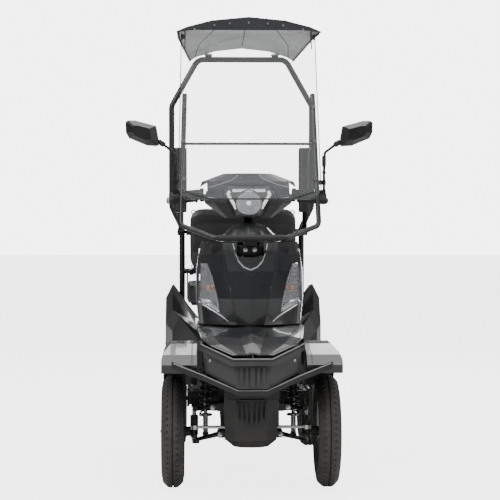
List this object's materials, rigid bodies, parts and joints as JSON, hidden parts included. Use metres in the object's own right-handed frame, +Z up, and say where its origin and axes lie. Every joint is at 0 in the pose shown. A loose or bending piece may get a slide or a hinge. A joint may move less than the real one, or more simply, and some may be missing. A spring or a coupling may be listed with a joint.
{
  "type": "mobility scooter",
  "caption": "Four-wheel mobility scooter with a moped-style front, swivel seat, wrap-round windscreen and roof canopy on a rear hoop.",
  "frame": {"origin": "on the ground under the middle of the scooter's outline", "axes": "-Y ahead, +X to the scooter's left, +Z up"},
  "size_m": [0.926, 1.625, 1.7748],
  "materials": {
    "body_gloss": "deep metallic anthracite lacquer",
    "black_plastic": "fine grained black plastic",
    "grey_bumper": "matte dark grey plastic",
    "black_steel": "satin black powder coat",
    "cast_steel": "machined steel",
    "zinc_steel": "zinc plated",
    "spring_steel": "black spring",
    "aluminium_case": "cast aluminium",
    "wheel": "rubber tyre on a black alloy rim",
    "rubber": "moulded rubber",
    "clear_lens": "clear polycarbonate",
    "screen": "clear faint grey polycarbonate",
    "mirror_shell": "satin black shell with a mirror glass",
    "roof_panel": "light grey roof panel",
    "visor_dark": "dark grey visor",
    "seat_vinyl": "black upholstery",
    "battery_case": "black battery case"
  },
  "bodies": {
    "chassis": {"frame": "black_steel", "floor_pan": "black_plastic", "floor_mat": "rubber", "power_pack": "battery_case", "damper_tubes": "black_steel", "suspension_springs": "spring_steel", "cowl": "body_gloss", "lamp_lenses": "clear_lens", "cowl_top": "body_gloss", "deck": "body_gloss", "front_wings": "body_gloss", "bumper_bar": "grey_bumper", "bumper_panel": "grey_bumper", "bumper_lip": "black_plastic", "belly_cover": "black_plastic", "rear_body": "body_gloss", "rear_bumper": "black_plastic", "charge_socket": "black_plastic", "rear_hoop": "black_steel", "windscreen": "screen", "screen_frame": "black_steel", "roof": "roof_panel", "roof_visor": "visor_dark", "canopy_screws": "zinc_steel", "mirror_stems": "black_steel"},
    "tiller": {"tiller_neck": "black_steel"},
    "steering_head": {"handlebar": "black_steel", "left_grip": "rubber", "bar_cowl": "black_plastic", "headlamp": "clear_lens"},
    "throttle": {"throttle_grip": "rubber"},
    "key": {"ignition_key": "zinc_steel"},
    "column": {"steering_column": "cast_steel"},
    "pitman": {"steering_shaft": "cast_steel"},
    "tie_rods": {"tie_rods": "zinc_steel"},
    "rear_axle": {"transaxle": "aluminium_case"},
    "seat_turntable": {"seat_swivel": "black_steel"},
    "seat": {"seat_frame": "black_steel", "seat_cushion": "seat_vinyl"},
    "back": {"backrest": "seat_vinyl"},
    "brake_lever_left": {"brake_lever_left": "black_steel"},
    "mirror_left": {"mirror_left": "mirror_shell"},
    "lower_arm_left": {"lower_arm_left": "black_steel"},
    "upper_arm_left": {"upper_arm_left": "black_steel"},
    "damper_rod_left": {"damper_rod_left": "cast_steel"},
    "kingpin_left": {"kingpin_left": "cast_steel"},
    "stub_axle_left": {"stub_axle_left": "black_steel"},
    "front_wheel_left": {"front_wheel_left": "wheel"},
    "rear_wheel_left": {"rear_wheel_left": "wheel"},
    "armrest_left": {"armrest_left": "seat_vinyl"},
    "brake_lever_right": {"brake_lever_right": "black_steel"},
    "mirror_right": {"mirror_right": "mirror_shell"},
    "lower_arm_right": {"lower_arm_right": "black_steel"},
    "upper_arm_right": {"upper_arm_right": "black_steel"},
    "damper_rod_right": {"damper_rod_right": "cast_steel"},
    "kingpin_right": {"kingpin_right": "cast_steel"},
    "stub_axle_right": {"stub_axle_right": "black_steel"},
    "front_wheel_right": {"front_wheel_right": "wheel"},
    "rear_wheel_right": {"rear_wheel_right": "wheel"},
    "armrest_right": {"armrest_right": "seat_vinyl"}
  },
  "joints": [
    {"name": "tiller_tilt", "type": "hinge", "parent": "chassis", "child": "tiller", "pos_m": [0, -0.29, 0.9], "axis": [-1, 0, 0], "range_deg": [0, 14]},
    {"name": "steering", "type": "hinge", "parent": "tiller", "child": "steering_head", "pos_m": [0, -0.29, 0.9], "axis": [0, 0.4226, 0.9063], "range_deg": [-25, 25]},
    {"name": "column_turn", "type": "hinge", "parent": "chassis", "child": "column", "pos_m": [0, -0.47, 0.425], "axis": [0, 0.3544, 0.9351], "range_deg": [-25, 25]},
    {"name": "pitman_turn", "type": "hinge", "parent": "chassis", "child": "pitman", "pos_m": [0, -0.48, 0.3], "axis": [0, 0, 1], "range_deg": [-25, 25]},
    {"name": "tie_rod_shift", "type": "hinge", "parent": "pitman", "child": "tie_rods", "pos_m": [0, -0.56, 0.232], "axis": [0, 0, 1], "range_deg": [-25, 25]},
    {"name": "throttle_twist", "type": "hinge", "parent": "steering_head", "child": "throttle", "pos_m": [-0.25, -0.15501, 1.06791], "axis": [-0.9597, 0.2605, -0.1052], "range_deg": [0, 55], "stiffness_Nm_per_rad": 0.05},
    {"name": "brake_left", "type": "hinge", "parent": "steering_head", "child": "brake_lever_left", "pos_m": [0.178, -0.21334, 1.09396], "axis": [0, 0.4226, 0.9063], "range_deg": [0, 12], "stiffness_Nm_per_rad": 1},
    {"name": "brake_right", "type": "hinge", "parent": "steering_head", "child": "brake_lever_right", "pos_m": [-0.178, -0.21334, 1.09396], "axis": [0, -0.4226, -0.9063], "range_deg": [0, 12], "stiffness_Nm_per_rad": 1},
    {"name": "key_turn", "type": "hinge", "parent": "steering_head", "child": "key", "pos_m": [0.06, -0.18759, 1.04864], "axis": [0, 0.9063, -0.4226], "range_deg": [0, 60]},
    {"name": "mirror_turn_left", "type": "hinge", "parent": "chassis", "child": "mirror_left", "pos_m": [0.334, -0.4127, 1.279], "axis": [0, 0, 1], "range_deg": [-20, 20]},
    {"name": "mirror_turn_right", "type": "hinge", "parent": "chassis", "child": "mirror_right", "pos_m": [-0.334, -0.4127, 1.279], "axis": [0, 0, 1], "range_deg": [-20, 20]},
    {"name": "suspension_left", "type": "hinge", "parent": "chassis", "child": "lower_arm_left", "pos_m": [0.111, -0.48, 0.199], "axis": [0, -1, 0], "range_deg": [-8, 8], "stiffness_Nm_per_rad": 1500, "springref_deg": -1.15, "deforming": ["suspension_springs"]},
    {"name": "kingpin_level_left", "type": "hinge", "parent": "lower_arm_left", "child": "kingpin_left", "pos_m": [0.207, -0.48, 0.175], "axis": [0, -1, 0], "range_deg": [-8, 8]},
    {"name": "wheel_steer_left", "type": "hinge", "parent": "kingpin_left", "child": "stub_axle_left", "pos_m": [0.207, -0.48, 0.175], "axis": [0, 0, 1], "range_deg": [-25, 25]},
    {"name": "upper_arm_turn_left", "type": "hinge", "parent": "chassis", "child": "upper_arm_left", "pos_m": [0.139, -0.48, 0.299], "axis": [0, -1, 0], "range_deg": [-11.5, 11.5]},
    {"name": "damper_level_left", "type": "hinge", "parent": "lower_arm_left", "child": "damper_rod_left", "pos_m": [0.165, -0.405, 0.1855], "axis": [0, -1, 0], "range_deg": [-8, 8]},
    {"name": "front_wheel_spin_left", "type": "hinge", "parent": "stub_axle_left", "child": "front_wheel_left", "pos_m": [0.285, -0.48, 0.206], "axis": [1, 0, 0], "continuous": true},
    {"name": "suspension_right", "type": "hinge", "parent": "chassis", "child": "lower_arm_right", "pos_m": [-0.111, -0.48, 0.199], "axis": [0, 1, 0], "range_deg": [-8, 8], "stiffness_Nm_per_rad": 1500, "springref_deg": -1.15},
    {"name": "kingpin_level_right", "type": "hinge", "parent": "lower_arm_right", "child": "kingpin_right", "pos_m": [-0.207, -0.48, 0.175], "axis": [0, 1, 0], "range_deg": [-8, 8]},
    {"name": "wheel_steer_right", "type": "hinge", "parent": "kingpin_right", "child": "stub_axle_right", "pos_m": [-0.207, -0.48, 0.175], "axis": [0, 0, 1], "range_deg": [-25, 25]},
    {"name": "upper_arm_turn_right", "type": "hinge", "parent": "chassis", "child": "upper_arm_right", "pos_m": [-0.139, -0.48, 0.299], "axis": [0, 1, 0], "range_deg": [-11.5, 11.5]},
    {"name": "damper_level_right", "type": "hinge", "parent": "lower_arm_right", "child": "damper_rod_right", "pos_m": [-0.165, -0.405, 0.1855], "axis": [0, 1, 0], "range_deg": [-8, 8]},
    {"name": "front_wheel_spin_right", "type": "hinge", "parent": "stub_axle_right", "child": "front_wheel_right", "pos_m": [-0.285, -0.48, 0.206], "axis": [1, 0, 0], "continuous": true},
    {"name": "rear_suspension", "type": "hinge", "parent": "chassis", "child": "rear_axle", "pos_m": [0, 0.32, 0.205], "axis": [1, 0, 0], "range_deg": [-3, 3], "stiffness_Nm_per_rad": 6000, "springref_deg": -1.15},
    {"name": "rear_wheel_spin_left", "type": "hinge", "parent": "rear_axle", "child": "rear_wheel_left", "pos_m": [0.285, 0.56, 0.206], "axis": [1, 0, 0], "continuous": true},
    {"name": "rear_wheel_spin_right", "type": "hinge", "parent": "rear_axle", "child": "rear_wheel_right", "pos_m": [-0.285, 0.56, 0.206], "axis": [1, 0, 0], "continuous": true},
    {"name": "seat_turn", "type": "hinge", "parent": "chassis", "child": "seat_turntable", "pos_m": [0, 0.28, 0.61], "axis": [0, 0, 1], "range_deg": [-90, 90]},
    {"name": "seat_slide", "type": "slide", "parent": "seat_turntable", "child": "seat", "axis": [0, -1, 0], "range_m": [0, 0.05]},
    {"name": "back_fold", "type": "hinge", "parent": "seat", "child": "back", "pos_m": [0, 0.515, 0.76], "axis": [1, 0, 0], "range_deg": [0, 30]},
    {"name": "armrest_drop_left", "type": "hinge", "parent": "back", "child": "armrest_left", "pos_m": [0.27, 0.56, 0.93], "axis": [1, 0, 0], "range_deg": [0, 90]},
    {"name": "armrest_drop_right", "type": "hinge", "parent": "back", "child": "armrest_right", "pos_m": [-0.27, 0.56, 0.93], "axis": [1, 0, 0], "range_deg": [0, 90]}
  ],
  "couplings": [
    {"joint": "column_turn", "follows": "steering", "ratio": 1},
    {"joint": "pitman_turn", "follows": "steering", "ratio": 1},
    {"joint": "tie_rod_shift", "follows": "steering", "ratio": -1},
    {"joint": "kingpin_level_left", "follows": "suspension_left", "ratio": -1},
    {"joint": "wheel_steer_left", "follows": "steering", "ratio": 1},
    {"joint": "upper_arm_turn_left", "follows": "suspension_left", "ratio": 1.4118},
    {"joint": "damper_level_left", "follows": "suspension_left", "ratio": -1},
    {"joint": "kingpin_level_right", "follows": "suspension_right", "ratio": -1},
    {"joint": "wheel_steer_right", "follows": "steering", "ratio": 1},
    {"joint": "upper_arm_turn_right", "follows": "suspension_right", "ratio": 1.4118},
    {"joint": "damper_level_right", "follows": "suspension_right", "ratio": -1}
  ]
}
